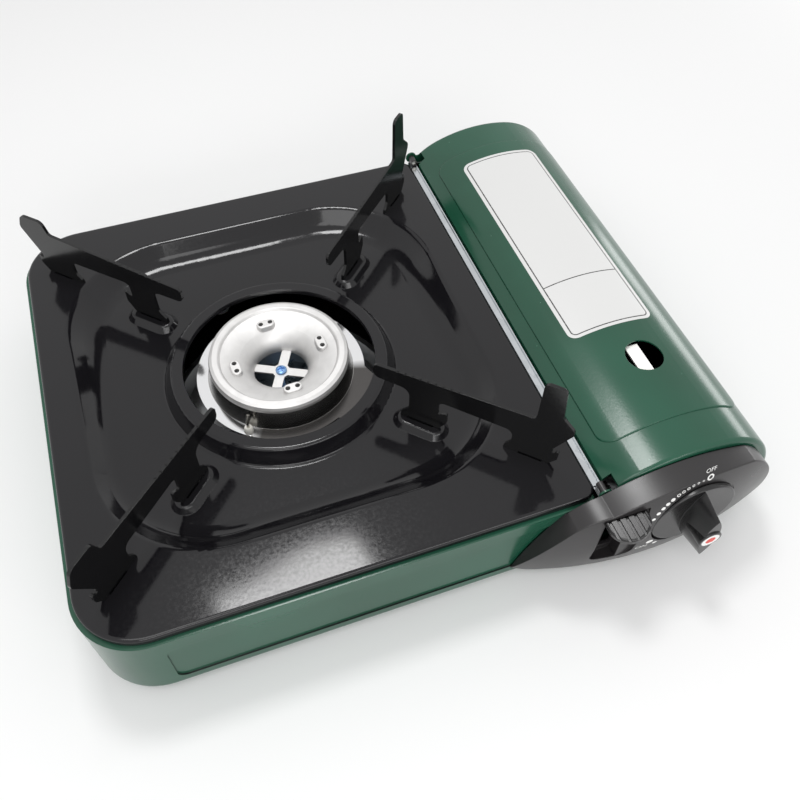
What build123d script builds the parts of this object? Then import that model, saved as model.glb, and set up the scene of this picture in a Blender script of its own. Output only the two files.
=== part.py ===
"""Butane cassette stove: a flat portable burner with its gas canister bay at the right.

Working frame while modelling: the burner's axis is X = Y = 0, the rim of the hob plate is
Z = 0, +X points to the canister bay, -Y to the front with the knob, +Z up.  Every part is
moved at the end so that the origin lies on the ground below the middle of the whole stove.
"""
from build123d import *
from math import atan, cos, degrees, hypot, pi, radians, sin, sqrt, tan
import os

os.makedirs("parts", exist_ok=True)

# ---- Driving dimensions, in millimetres ------------------------------------------------

SHEET = 0.8                       # gauge of all the pressed steel

# Hob plate: pressed, enamelled, lifts off upwards
PLATE_LEFT, PLATE_RIGHT = -119.6, 120.4
PLATE_FRONT, PLATE_BACK = -130.0, 133.2
PLATE_CORNER = 30.6               # plan radius of the two corners on the left
PLATE_SKIRT = 4.0                 # height of the turned-down edge
DISH_LEFT, DISH_RIGHT = -103.0, 103.0
DISH_FRONT, DISH_BACK = -99.0, 108.0
DISH_CORNER = 60.0
DISH_DEPTH = 10.0
DISH_SLOPE_RUN = 11.0             # plan width of the slope from rim to dish floor
DISH_SHOULDER_R, DISH_FLOOR_R = 4.0, 16.0
HOLE_R = 50.7                     # hole around the burner
COLLAR_TOP = -1.0                 # crest of the raised collar round the hole
COLLAR_CREST_R, COLLAR_BASE_R = 57.0, 61.5
BOSS_MID_R, BOSS_LENGTH, BOSS_WIDTH, BOSS_TOP = 82.5, 30.0, 15.0, -6.6

# Pan supports, on the plate's diagonals; r is the distance from the burner axis
SUPPORT_GAUGE = 1.6
SUPPORT_TIP_R, SUPPORT_END_R = 56.0, 139.4
SUPPORT_TIP_Z, SUPPORT_END_Z = 25.8, 30.3
HORN_HIGH, HORN_LOW = 57.0, 38.6
TOOTH_START_R, TOOTH_PITCH, TOOTH_COUNT, TOOTH_DEPTH = 69.0, 4.0, 9, 0.55

# Body tray
BODY_LEFT, BODY_RIGHT = -121.6, 220.0
BODY_FRONT, BODY_BACK = -132.0, 134.4
BODY_BOTTOM, BODY_TOP = -54.5, -4.3
BODY_CORNER = 32.0
BODY_FOOT_R = 5.0                 # radius where the walls turn into the floor
LEDGE = 6.0                       # inward flange that carries the plate
FOOT_HEIGHT = 5.0

# Canister cover: three tangent arcs in section, hinged next to the plate
COVER_EDGE_X, COVER_EDGE_Z = 125.7, 0.9
COVER_RADII = (41.0, 84.0, 43.4)
COVER_SLOPES = (45.0, 21.0, -11.7, -90.0)       # direction of the section where its arcs meet
COVER_SIDE_Z = -31.0              # lower edge of the cover's outer side
COVER_END_Z = -3.6                # lower edge of its two end walls
COVER_GAUGE = 0.9
FIELD_LEFT, FIELD_RIGHT = 131.5, 210.0          # raised field that covers most of the lid
FIELD_FRONT, FIELD_BACK = -111.0, 112.0
FIELD_CORNER, FIELD_RISE = 8.0, 0.8
BODY_SIDE_TOP = -25.0             # top of the tray's right wall, inside the cover
HINGE_X, HINGE_Z = 123.2, 1.2
HINGE_PIN_R = 1.5
WINDOW_X, WINDOW_Y, WINDOW_R = 173.4, -72.4, 9.9

# Canister, which the bay is made round: 66 mm across, lying along Y
CAN_X, CAN_Z, CAN_R = 171.0, -19.5, 33.0

# Control panel: a leaf outline cut from a barrel-shaped front
PANEL_APEX_X, PANEL_APEX_Y, PANEL_APEX_Z = 153.0, -149.8, -18.0
PANEL_PLAN_R, PANEL_SIDE_R = 205.0, 112.0
PANEL_WALL = 2.2
DIAL_Y = -146.0                   # floor of the round recess in which the knob turns
PANEL_EDGE_R = 0.7

# Knob and lever
KNOB_X, KNOB_Z = 164.9, -13.1
KNOB_R = 22.0
KNOB_BACK_Y, KNOB_DISC_Y, KNOB_END_Y = -146.4, -148.9, -164.0
GRIP_FOOT = (20.0, 6.4)           # half length and half width of the grip at the disc
GRIP_END = (16.3, 4.6)            # and at its end
GRIP_END_Y, PAD_R = -163.2, 6.0   # a round pad stands out of the grip's end
SPINDLE_R, SPINDLE_TIP_Y = 3.0, -159.0
LEVER_X, LEVER_FRONT_Y = 126.4, -158.4
LEVER_WIDTH, LEVER_TILT = 20.5, 12.0
TONGUE_TOP, TONGUE_MID, TONGUE_BOTTOM = 2.5, 0.4, -1.7    # heights at rest, which is RELEASE
LEVER_TRAVEL, CARRIAGE_TRAVEL = 28.0, 5.0
PIN_Y, PIN_Z, PIN_R = -121.6, -9.4, 1.5     # pin on the stem, which slides down the carriage's follower
FOLLOWER_LEFT, FOLLOWER_RIGHT = 129.2, 131.6
FOLLOWER_GAUGE, FOLLOWER_GAP = 1.4, 0.3
NECK_TOP, NECK_BOTTOM = 0.8, -1.9
STEM_TOP, STEM_BOTTOM = -6.4, -12.4
TRACK_WIDTH, TRACK_BOTTOM, TRACK_CORNER = 22.2, -40.0, 6.0
TRACK_STEP_X = 129.8              # the track is deep on the left of this and shallow on the right
TRACK_DEEP_Y, TRACK_SHALLOW_Y = -140.0, -146.2

# Gas train
BRACKET_BACK = BODY_FRONT + SHEET + 1.0
INLET_FRONT = BRACKET_BACK + 35.0

# Burner
CAP_TOP = 4.8
NECK_R = 38.8                     # foot of the burner's wall
SPIDER_TOP, SPIDER_GAUGE = -10.8, 1.2
BOSS_PORT_R = 1.3
FLANGE_R, FLANGE_Z = 44.8, -10.0
BOWL_BOTTOM = -37.0
TUBE_ANGLE = -40.0                # direction of the mixing tube seen from above
TUBE_R, TUBE_Z = 9.5, -24.0
TUBE_END = 172.0
TUBE_WAY = (cos(radians(TUBE_ANGLE)), sin(radians(TUBE_ANGLE)), 0)
ELECTRODE_X, ELECTRODE_Y = -25.6, -32.8
LEAD_R = 1.4
IGNITER_X, IGNITER_Z, IGNITER_BACK = 198.0, -38.0, -112.0
LEAD_HOLE_Y, LEAD_HOLE_Z = -79.6, -50.0      # where the lead passes the divider

# Where the working frame's zero goes
GROUND_Z = BODY_BOTTOM - FOOT_HEIGHT
COVER_RIGHT = COVER_EDGE_X + sum(r * (sin(radians(a)) - sin(radians(b)))
                                 for r, a, b in zip(COVER_RADII, COVER_SLOPES, COVER_SLOPES[1:]))
MIDDLE_X = (BODY_LEFT + COVER_RIGHT) / 2
MIDDLE_Y = (KNOB_END_Y + BODY_BACK) / 2

DIAGONALS = {"front_left": 225, "front_right": 315, "back_right": 45, "back_left": 135}


# ---- Small helpers ---------------------------------------------------------------------

def box(x0, x1, y0, y1, z0, z1):
    """A block between two opposite corners."""
    middle = Pos((x0 + x1) / 2, (y0 + y1) / 2, (z0 + z1) / 2)
    return middle * Box(x1 - x0, y1 - y0, z1 - z0)


def plan(x0, x1, y0, y1, r_left, r_right):
    """A rectangle seen from above, with one radius for its left corners and one for its right."""
    face = Pos((x0 + x1) / 2, (y0 + y1) / 2) * Rectangle(x1 - x0, y1 - y0)
    face = fillet(face.vertices().group_by(Axis.X)[0], r_left)
    return fillet(face.vertices().group_by(Axis.X)[-1], r_right)


def turned(points):
    """A solid of revolution about the burner axis from a closed outline of (r, z)."""
    return revolve(Plane.XZ * make_face(Polyline(*points, close=True)), Axis.Z)


def prism_xz(outline, y_back, y_front):
    """An outline of (x, z) extruded forwards, from y_back to y_front."""
    return extrude(Plane.XZ.offset(-y_back) * outline, y_back - y_front, dir=(0, -1, 0))


def rod(x, y, z, r, length, direction):
    """A round bar that starts at a point and runs along a direction."""
    return extrude(Plane(origin=(x, y, z), z_dir=direction) * Circle(r), length, dir=direction)


# ---- Hob plate -------------------------------------------------------------------------

def pressing(drop):
    """All space below the plate's sheet, whose surface lies lower and further in by drop."""
    outline = plan(PLATE_LEFT + drop, PLATE_RIGHT - drop, PLATE_FRONT + drop, PLATE_BACK - drop,
                   PLATE_CORNER - drop, 6 - drop)
    block = extrude(Pos(0, 0, -40) * outline, 40 - drop)
    block = fillet(block.edges().group_by(Axis.Z)[-1], 1.8 - drop)

    mouth = plan(DISH_LEFT, DISH_RIGHT, DISH_FRONT, DISH_BACK, DISH_CORNER, DISH_CORNER)
    slope = degrees(atan(DISH_SLOPE_RUN / DISH_DEPTH))
    dish = extrude(mouth, -DISH_DEPTH, taper=slope)
    dish = fillet(dish.edges().group_by(Axis.Z)[0], DISH_FLOOR_R)

    collar_face = make_face(Polyline(
        (HOLE_R - 5, -DISH_DEPTH - 3), (COLLAR_BASE_R + 4, -DISH_DEPTH - 3), (COLLAR_BASE_R + 4, -DISH_DEPTH),
        (COLLAR_BASE_R - drop, -DISH_DEPTH), (COLLAR_CREST_R - drop, COLLAR_TOP), (HOLE_R - 5, COLLAR_TOP),
        close=True))
    corners = collar_face.vertices().filter_by_position(Axis.X, 56, 62)
    collar = revolve(Plane.XZ * fillet(corners, 2.0), Axis.Z)
    dish -= collar

    pad = extrude(SlotOverall(BOSS_LENGTH - drop, BOSS_WIDTH - drop), BOSS_TOP + DISH_DEPTH, taper=38)
    pad = fillet(pad.edges().group_by(Axis.Z)[-1], 2.0)
    for angle in DIAGONALS.values():
        dish -= Rot(0, 0, angle) * Pos(BOSS_MID_R, 0, -DISH_DEPTH) * pad

    block -= Pos(0, 0, -drop) * dish
    mouth_edges = block.edges().group_by(Axis.Z)[-1].filter_by(lambda e: abs(e.center().X) < DISH_RIGHT + 1)
    mouth_edges = mouth_edges.filter_by(lambda e: DISH_FRONT - 1 < e.center().Y < DISH_BACK + 1)
    block = fillet(mouth_edges, DISH_SHOULDER_R - drop)
    return block - Pos(0, 0, -50) * Cylinder(HOLE_R + drop, 200)


def hob_plate():
    """The plate: its upper pressing less its lower one, with skirt, hole lip and slots."""
    sheet = pressing(0) - pressing(SHEET)
    keep = box(PLATE_LEFT - 1, PLATE_RIGHT + 1, PLATE_FRONT - 1, PLATE_BACK + 1, -PLATE_SKIRT, 1)
    inside = plan(PLATE_LEFT + 4, PLATE_RIGHT - 4, PLATE_FRONT + 4, PLATE_BACK - 4, 26, 4)
    inside = extrude(Pos(0, 0, -20) * inside, 30) - Pos(0, 0, -30) * Cylinder(HOLE_R + 2, 53)
    sheet = sheet & (keep + inside)
    for angle in DIAGONALS.values():
        inner_slot = Pos(82.3, 0, -8) * Box(14.2, 2.5, 8)
        outer_slot = Pos(140.5, 0, 0) * Box(12.2, 2.5, 8)
        sheet -= Rot(0, 0, angle) * (inner_slot + outer_slot)
    return sheet


def rounded(corners):
    """A face whose outline runs through corners of (x, z, radius), each rounded by its radius."""
    face = make_face(Polyline(*[(x, z) for x, z, _ in corners], close=True))
    for x, z, radius in corners:
        if radius:
            face = fillet(face.vertices().sort_by_distance((x, z))[0], radius)
    return face


def pan_support(horn):
    """One arm, cut from sheet: hooked inner leg, arch, hooked outer leg and upturned horn."""
    top = [(SUPPORT_TIP_R, SUPPORT_TIP_Z, 2.5), (SUPPORT_END_R, SUPPORT_END_Z, 2.0)]
    if horn == HORN_HIGH:
        end = [(139.6, horn, 3.0), (150.0, horn, 3.0), (151.4, 37.5, 4.0)]
    else:
        end = [(141.8, horn, 3.5), (155.4, horn, 4.0)]
    end += [(158.8, 30.0, 4.0), (150.0, 12.5, 1.5), (150.2, 8.6, 1.0), (153.6, 12.4, 0.7), (153.4, 5.5, 2.0)]
    outer_foot = [(149.6, 0, 0), (146.2, 0, 0), (146.2, -2.6, 0), (134.8, -2.6, 0), (134.8, 0, 0), (126.6, 0, 0)]
    arch = [(127.0, 2.2, 0.8), (130.0, 6.5, 3.0), (130.0, 15.0, 4.0), (91.4, 15.4, 3.5), (91.4, 5.0, 1.0)]
    inner_foot = [(96.2, 7.8, 0.7), (96.4, 0.5, 2.0), (92.4, -6.4, 0), (88.6, -6.4, 0), (88.6, -9.4, 0),
                  (76.0, -9.4, 0), (76.0, -6.4, 0), (71.2, -6.4, 0), (71.6, -3.6, 0.8), (75.8, 1.6, 3.0)]
    throat = [(75.8, 16.2, 5.0), (SUPPORT_TIP_R, 16.8, 3.5)]
    outline = rounded(top + end + outer_foot + arch + inner_foot + throat)
    arm = extrude(Plane.XZ * outline, SUPPORT_GAUGE / 2, both=True)
    rise = (SUPPORT_END_Z - SUPPORT_TIP_Z) / (SUPPORT_END_R - SUPPORT_TIP_R)
    notch = make_face(Polyline((-0.9, 0.3), (0.9, 0.3), (0, -TOOTH_DEPTH), close=True))
    notch = extrude(Plane.XZ * notch, SUPPORT_GAUGE, both=True)
    for k in range(TOOTH_COUNT):
        r = TOOTH_START_R + k * TOOTH_PITCH
        arm -= Pos(r, 0, SUPPORT_TIP_Z + (r - SUPPORT_TIP_R) * rise) * notch
    return arm


# ---- Body tray and what is fixed in it ---------------------------------------------------

RIVETS = [(126.5, -90), (126.5, 20), (126.5, 110), (-24, 0), (24, 0), (171, -40), (171, 80)]
FEET = [(-92, -102), (-92, 104), (192, -102), (192, 104)]
VENTS = [(-19, 97), (20, 108), (-57, 88), (57, 88), (-92, 40), (-92, 0), (-92, -40),
         (-57, -92), (0, -104), (57, -92)]


def tray_block(drop):
    """The tray as a filled block, whose skin lies further in by drop."""
    outline = plan(BODY_LEFT + drop, BODY_RIGHT - drop, BODY_FRONT + drop, BODY_BACK - drop,
                   BODY_CORNER - drop, 6 - drop)
    block = extrude(Pos(0, 0, BODY_BOTTOM + drop) * outline, BODY_TOP - BODY_BOTTOM + 20)
    return fillet(block.edges().group_by(Axis.Z)[0], BODY_FOOT_R - drop)


def body_tray():
    """The pressed lower shell: floor, walls, top ledge, embossed front, vents and openings."""
    low_side = box(206.0, 240, -200, 200, COVER_SIDE_Z - 0.8, 60)
    right_wall = box(BODY_RIGHT - 1.5, 240, BODY_FRONT + 6.5, BODY_BACK - 6.5, -60, BODY_SIDE_TOP)
    shell = tray_block(0) - tray_block(SHEET) - box(-200, 300, -200, 200, BODY_TOP, 100)
    shell -= low_side - right_wall
    ledge = plan(BODY_LEFT, 119.8, BODY_FRONT, BODY_BACK, BODY_CORNER, 2)
    ledge -= plan(BODY_LEFT + LEDGE, 130, BODY_FRONT + LEDGE, BODY_BACK - LEDGE, BODY_CORNER - LEDGE, 2)
    shell += extrude(Pos(0, 0, BODY_TOP - SHEET) * ledge, SHEET)

    field = Pos(11, -29.5) * RectangleRounded(198, 34, 6)
    shell += prism_xz(field, BODY_FRONT + 1.7, BODY_FRONT + SHEET - 0.1)
    shell -= prism_xz(offset(field, -1.0), BODY_FRONT + 0.9, BODY_FRONT - 1)

    for x, y in VENTS:
        shell -= Pos(x, y, BODY_BOTTOM) * Cylinder(5.5, 6)
    for x, y in FEET:
        shell -= Pos(x, y, BODY_BOTTOM) * Cylinder(3.0, 6)
    for x, y in RIVETS:
        shell -= Pos(x, y, BODY_BOTTOM) * Cylinder(1.7, 6)
    shell -= rod(KNOB_X, BODY_FRONT - 2, KNOB_Z, 9.0, 5, (0, 1, 0))
    slot_bottom = STEM_BOTTOM - LEVER_TRAVEL - 1.5
    shell -= box(LEVER_X - 7, LEVER_X + 7, BODY_FRONT - 2, BODY_FRONT + 3, slot_bottom, BODY_TOP + 5)
    return shell


def divider_wall():
    """Galvanised sheet between burner chamber and canister bay, with a channelled top strip."""
    y0, y1 = BODY_FRONT + SHEET + 0.1, BODY_BACK - SHEET - 0.1
    floor = BODY_BOTTOM + SHEET
    wall = box(121.0, 121.0 + SHEET, y0 + 5, y1 - 5, floor, -2.2)
    wall += box(121.0, 121.0 + SHEET, y0, y1, -20, -2.2)
    wall += box(121.0, 132.0, y0 + 8, y1 - 8, floor, floor + SHEET)
    wall += box(120.8, 124.7, y0 + 6.5, y1 - 6.5, -2.2, -1.4)
    wall += box(124.1, 124.7, y0 + 6.5, y1 - 6.5, -1.4, -0.6)
    hole_y = 121.4 * tan(radians(TUBE_ANGLE))
    wall -= rod(118, hole_y, TUBE_Z, TUBE_R + 4.5, 8, (1, 0, 0))
    wall -= box(118, 124, -13, 13, floor + SHEET, floor + 4.0)
    wall -= rod(118, LEAD_HOLE_Y, LEAD_HOLE_Z, 2.4, 8, (1, 0, 0))
    for x, y in RIVETS[:3]:
        wall -= Pos(x, y, floor) * Cylinder(1.7, 6)
    return wall


def foot():
    """Rubber foot with a stem and a barbed head that holds it in the floor."""
    floor = BODY_BOTTOM + SHEET
    return turned([(0, GROUND_Z), (7.2, GROUND_Z), (8.2, GROUND_Z + 1.0), (7.0, BODY_BOTTOM), (2.9, BODY_BOTTOM),
                   (2.9, floor), (4.4, floor), (3.0, floor + 2.4), (0, floor + 2.4)])


def rivets():
    """Seven rivets through the floor: divider, burner stand and canister cradle."""
    floor = BODY_BOTTOM + SHEET
    head = turned([(0, BODY_BOTTOM - 1.0), (2.0, BODY_BOTTOM - 0.8), (3.0, BODY_BOTTOM), (1.6, BODY_BOTTOM),
                   (1.6, floor + SHEET), (2.6, floor + SHEET), (2.0, floor + SHEET + 0.8), (0, floor + SHEET + 1.0)])
    return Compound(children=[Pos(x, y, 0) * head for x, y in RIVETS])


def hinge_blocks():
    """Two black moulded blocks at the ends of the divider, which hold the hinge pins."""
    blocks = []
    for y0, y1 in ((BODY_FRONT + 1.1, BODY_FRONT + 6.8), (BODY_BACK - 6.8, BODY_BACK - 1.1)):
        block = box(121.0 + SHEET, 125.0, y0, y1, -6.0, HINGE_Z)
        block += rod(HINGE_X, y0, HINGE_Z, 1.9, y1 - y0, (0, 1, 0))
        blocks.append(block - rod(HINGE_X, y0 - 1, HINGE_Z, HINGE_PIN_R, 10, (0, 1, 0)))
    return Compound(children=blocks)


def hinge_pins():
    """Two steel pins, one at each end of the hinge line."""
    front = rod(HINGE_X, BODY_FRONT, HINGE_Z, HINGE_PIN_R, 6.5, (0, 1, 0))
    back = rod(HINGE_X, BODY_BACK - 6.5, HINGE_Z, HINGE_PIN_R, 6.5, (0, 1, 0))
    return Compound(children=[front, back])


# ---- Canister cover ----------------------------------------------------------------------

def cover_section(inset):
    """Closed section of the cover in (x, z), with its skin further in by inset."""
    last = Vector(COVER_EDGE_X, COVER_EDGE_Z)
    lines = []
    for radius, start, end in zip(COVER_RADII, COVER_SLOPES, COVER_SLOPES[1:]):
        heading = (cos(radians(start)), sin(radians(start)))
        lines.append(JernArc(last, heading, radius, end - start))
        last = lines[-1] @ 1
    bottom = COVER_SIDE_Z - 40
    lines.append(Line(last, (last.X, bottom)))
    lines.append(Line((last.X, bottom), (COVER_EDGE_X, bottom)))
    lines.append(Line((COVER_EDGE_X, bottom), (COVER_EDGE_X, COVER_EDGE_Z)))
    section = make_face(Curve() + lines)
    if inset:
        section = offset(section, -inset)
        section += Pos(COVER_EDGE_X + 8, -40) * Rectangle(24, 40)
    return section


def field_block(drop):
    """Upright block over the cover's raised field, smaller all round by drop."""
    outline = plan(FIELD_LEFT + drop, FIELD_RIGHT - drop, FIELD_FRONT + drop, FIELD_BACK - drop,
                   FIELD_CORNER - drop, FIELD_CORNER - drop)
    return extrude(Pos(0, 0, -30) * outline, 110)


def canister_cover():
    """The lid of the canister bay: an arched shell with raised field, end walls and hinge ears."""
    skin = prism_xz(cover_section(0), BODY_BACK, BODY_FRONT)
    ends = skin.edges().group_by(Axis.Y)
    skin = fillet((ends[0] + ends[-1]).filter_by(GeomType.CIRCLE), 2.4)
    core = prism_xz(cover_section(COVER_GAUGE), BODY_BACK - COVER_GAUGE, BODY_FRONT + COVER_GAUGE)
    field = prism_xz(cover_section(-FIELD_RISE), BODY_BACK, BODY_FRONT) & field_block(0)
    crest = field.edges() - field.edges().filter_by(Axis.Z) - field.edges().group_by(Axis.Z)[0]
    field = fillet(crest, FIELD_RISE * 0.75)
    hollow = prism_xz(cover_section(COVER_GAUGE - FIELD_RISE), BODY_BACK, BODY_FRONT)
    shell = skin + field - core - (hollow & field_block(COVER_GAUGE))
    shell -= box(100, 207.0, -200, 200, -120, COVER_END_Z)
    shell -= box(100, 300, -200, 200, -120, COVER_SIDE_Z)

    tool = Pos(WINDOW_X, WINDOW_Y, 10) * Cylinder(WINDOW_R, 30)
    shell -= tool
    for y0, y1 in ((BODY_FRONT + COVER_GAUGE, BODY_FRONT + 8.4), (BODY_BACK - 8.4, BODY_BACK - COVER_GAUGE)):
        shell -= box(120, 129.6, y0, y1, -8, 12)
    for y in (BODY_FRONT + COVER_GAUGE, BODY_BACK):
        ear = Pos(HINGE_X, HINGE_Z) * Circle(3.4) + Pos(HINGE_X + 4, HINGE_Z - 1.4) * Rectangle(8, 4.0)
        shell += prism_xz(ear, y, y - COVER_GAUGE)
        shell -= prism_xz(Pos(HINGE_X, HINGE_Z) * Circle(HINGE_PIN_R + 0.06), y + 1, y - COVER_GAUGE - 1)
    return shell


# ---- Control panel, knob and lever -----------------------------------------------------------

def panel_outline(inset):
    """Leaf-shaped outline of the panel in (x, z), from its low left tip round the top."""
    tip, shoulder, start = (80.0, -46.0), (104.0, -3.6), (120.0, 3.0)
    crown, right, heel, toe = (196.0, 8.0), (216.6, -26.0), (204.0, -49.8), (96.0, -50.6)
    edge = [ThreePointArc(tip, (90.4, -22.5), shoulder), ThreePointArc(shoulder, (111.5, 0.8), start),
            ThreePointArc(start, (158.0, 12.8), crown), ThreePointArc(crown, (211.0, -7.0), right),
            ThreePointArc(right, (214.0, -41.0), heel), Line(heel, toe), ThreePointArc(toe, (87.0, -49.6), tip)]
    face = make_face(Curve() + edge)
    return offset(face, -inset) if inset else face


def barrel(inset):
    """The panel's doubly curved front, as a barrel with an upright axis behind the stove."""
    radius = PANEL_PLAN_R - inset
    side_r = PANEL_SIDE_R - inset
    half = 45.0
    sag = side_r - sqrt(side_r ** 2 - half ** 2)
    bulge = ThreePointArc((radius - sag, -half), (radius, 0), (radius - sag, half))
    outline = Curve() + [bulge, Polyline((radius - sag, half), (0, half), (0, -half), (radius - sag, -half))]
    solid = revolve(Plane.XZ * make_face(outline), Axis.Z)
    return Pos(PANEL_APEX_X, PANEL_APEX_Y + PANEL_PLAN_R, PANEL_APEX_Z) * solid


def track_outline(grow):
    """Outline of the lever's track in (x, z), wider all round by grow, with a top like the tongue's."""
    half = TRACK_WIDTH / 2 + grow
    top = TONGUE_TOP + 0.6 + grow
    rise = half * tan(radians(LEVER_TILT))
    track = Polygon((LEVER_X - half, TRACK_BOTTOM - grow), (LEVER_X + half, TRACK_BOTTOM - grow),
                    (LEVER_X + half, top + rise), (LEVER_X - half, top - rise), align=None)
    return fillet(track.vertices().group_by(Axis.Y)[0], TRACK_CORNER)


def control_panel():
    """Black moulded fascia: a hollow leaf with the knob's recess and the lever's stepped track."""
    back = BODY_FRONT
    front = back - 30
    outer = prism_xz(panel_outline(0), back, front) & barrel(0)
    edges = outer.edges().filter_by(lambda e: max(e.start_point().Y, e.end_point().Y) < back - 3)
    outer = fillet(edges, PANEL_EDGE_R)
    inner = prism_xz(panel_outline(PANEL_WALL), back + 1, front) & barrel(PANEL_WALL)
    shell = outer - inner
    land = Pos(KNOB_X, KNOB_Z) * Circle(KNOB_R + 3.0)
    recess = Pos(KNOB_X, KNOB_Z) * Circle(KNOB_R + 0.7)
    shell += prism_xz(land, DIAL_Y + PANEL_WALL, front) & outer
    shell -= prism_xz(recess, DIAL_Y, front)
    shell -= rod(KNOB_X, back, KNOB_Z, SPINDLE_R + 1.2, 30, (0, -1, 0))

    shell += prism_xz(track_outline(2.0), back - 6, back - 16) & outer
    shell -= prism_xz(track_outline(0), TRACK_SHALLOW_Y, front)
    deep = track_outline(0) - Pos(TRACK_STEP_X + 20, 0) * Rectangle(40, 120)
    shell -= prism_xz(deep, TRACK_DEEP_Y, front)
    shell -= box(LEVER_X - 3.8, LEVER_X + 3.1, back - 12, back, NECK_BOTTOM - LEVER_TRAVEL - 6, NECK_TOP + 0.8)
    shell -= box(60, 240, back - 0.6, back + 1, BODY_TOP - 0.6, 40)
    return shell


def leaf(half_length, half_width):
    """Pointed leaf of two arcs in (x, z) about the knob's axis, standing upright."""
    low, high = (KNOB_X, KNOB_Z - half_length), (KNOB_X, KNOB_Z + half_length)
    right = ThreePointArc(low, (KNOB_X + half_width, KNOB_Z), high)
    left = ThreePointArc(high, (KNOB_X - half_width, KNOB_Z), low)
    return make_face(Curve() + [right, left])


def knob():
    """Round base with a tapering leaf-shaped grip, a round pad and the seat for the spindle."""
    base = prism_xz(Pos(KNOB_X, KNOB_Z) * Circle(KNOB_R), KNOB_BACK_Y, KNOB_DISC_Y)
    base = fillet(base.edges().group_by(Axis.Y)[0], 0.8)
    foot_plane, end_plane = Plane.XZ.offset(-KNOB_DISC_Y), Plane.XZ.offset(-GRIP_END_Y)
    grip = loft([foot_plane * leaf(*GRIP_FOOT), end_plane * leaf(*GRIP_END)])
    pad = prism_xz(Pos(KNOB_X, KNOB_Z) * Circle(PAD_R), KNOB_DISC_Y, KNOB_END_Y)
    pad = fillet(pad.edges().group_by(Axis.Y)[0], 0.6)
    seat_y = KNOB_BACK_Y + 1
    return base + grip + pad - rod(KNOB_X, seat_y, KNOB_Z, SPINDLE_R, seat_y - SPINDLE_TIP_Y, (0, -1, 0))


def valve_spindle():
    """Steel spindle that turns with the knob and runs into the regulator."""
    inner_y = -121.5
    return rod(KNOB_X, inner_y, KNOB_Z, SPINDLE_R, inner_y - SPINDLE_TIP_Y, (0, -1, 0))


def lock_lever():
    """Tilted thumb tongue with a rounded front and ridges, on a stem with a pin at its end."""
    back_y = BODY_FRONT - 9.0
    half = LEVER_WIDTH / 2
    round_y = LEVER_FRONT_Y + half
    outline = Pos(LEVER_X, (round_y + back_y) / 2) * Rectangle(LEVER_WIDTH, back_y - round_y)
    outline += Pos(LEVER_X, round_y) * Circle(half)
    outline -= Pos(LEVER_X, back_y + 10) * Rectangle(LEVER_WIDTH + 2, 20)
    tongue = extrude(Pos(0, 0, TONGUE_BOTTOM) * outline, TONGUE_TOP - TONGUE_BOTTOM, dir=(0, 0, 1))
    rounds = tongue.edges().filter_by(GeomType.CIRCLE)
    tongue = fillet(rounds.group_by(Axis.Z)[0] + rounds.group_by(Axis.Z)[-1], 1.2)
    for k in range(5):
        groove = box(-0.7, 0.7, LEVER_FRONT_Y - 1, back_y - 3.5, TONGUE_TOP - 0.9, TONGUE_TOP + 1)
        tongue -= Pos(LEVER_X - 8.0 + 4.0 * k, 0, 0) * groove
    middle = Pos(LEVER_X, 0, TONGUE_MID)
    tongue = middle * Rot(0, -LEVER_TILT, 0) * middle.inverse() * tongue
    tongue -= box(TRACK_STEP_X - 0.8, LEVER_X + 20, TRACK_SHALLOW_Y - 0.3, back_y + 1, -20, 20)
    x0, x1 = LEVER_X - 2.5, LEVER_X + 2.5
    web_y = back_y + 3.6
    neck = box(x0, x1, back_y - 1.0, web_y, NECK_BOTTOM, NECK_TOP)
    web = box(x0, x1, web_y, web_y + 3.4, STEM_BOTTOM, NECK_TOP)
    stem = box(x0, x1, web_y, PIN_Y + PIN_R, STEM_BOTTOM, STEM_TOP)
    pin = rod(x1 - 1.0, PIN_Y, PIN_Z, PIN_R, FOLLOWER_RIGHT - x1 + 0.8, (1, 0, 0))
    return tongue + neck + web + stem + pin


# ---- Gas train in the bay --------------------------------------------------------------------

def valve_bracket():
    """Galvanised plate behind the front wall, on which the regulator is screwed."""
    outline = Pos(175, -27) * RectangleRounded(62, 40, 4)
    plate = prism_xz(outline, BRACKET_BACK, BODY_FRONT + SHEET)
    return plate - rod(KNOB_X, BODY_FRONT, KNOB_Z, 9.0, 5, (0, 1, 0))


def regulator_body():
    """Zinc die casting: round chamber, neck to the inlet, spindle boss and jet boss."""
    front = BRACKET_BACK
    body = rod(CAN_X, front + 8, CAN_Z, 20.0, 18, (0, 1, 0))
    body += rod(CAN_X, front + 26, CAN_Z, 12.0, 9, (0, 1, 0))
    body += rod(KNOB_X, front, KNOB_Z, 7.5, 12, (0, 1, 0))
    body += Pos(CAN_X, front + 17, -36.0) * Cylinder(13.0, 7.2)
    socket = mixing_axis(TUBE_END + 5)
    elbow = mixing_axis(TUBE_END + 12)
    body += rod(*socket, 5.5, 10, TUBE_WAY)
    body += rod(*elbow, 5.5, 24, (CAN_X - elbow[0], front + 16 - elbow[1], 0))
    body -= rod(KNOB_X, front - 1, KNOB_Z, SPINDLE_R + 0.06, 10.5, (0, 1, 0))
    body -= rod(*socket, 2.5, 8, TUBE_WAY)
    body -= rod(CAN_X, front + 27, CAN_Z, 4.0, 12, (0, 1, 0))
    return body


def diaphragm_cover():
    """Pressed disc under which the regulator's diaphragm is clamped, on its lower side."""
    disc = turned([(0, -45.6), (9, -45.6), (11, -44), (12.5, -43.2), (12.5, -39.6), (0, -39.6)])
    return Pos(CAN_X, BRACKET_BACK + 17, 0) * disc


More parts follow.
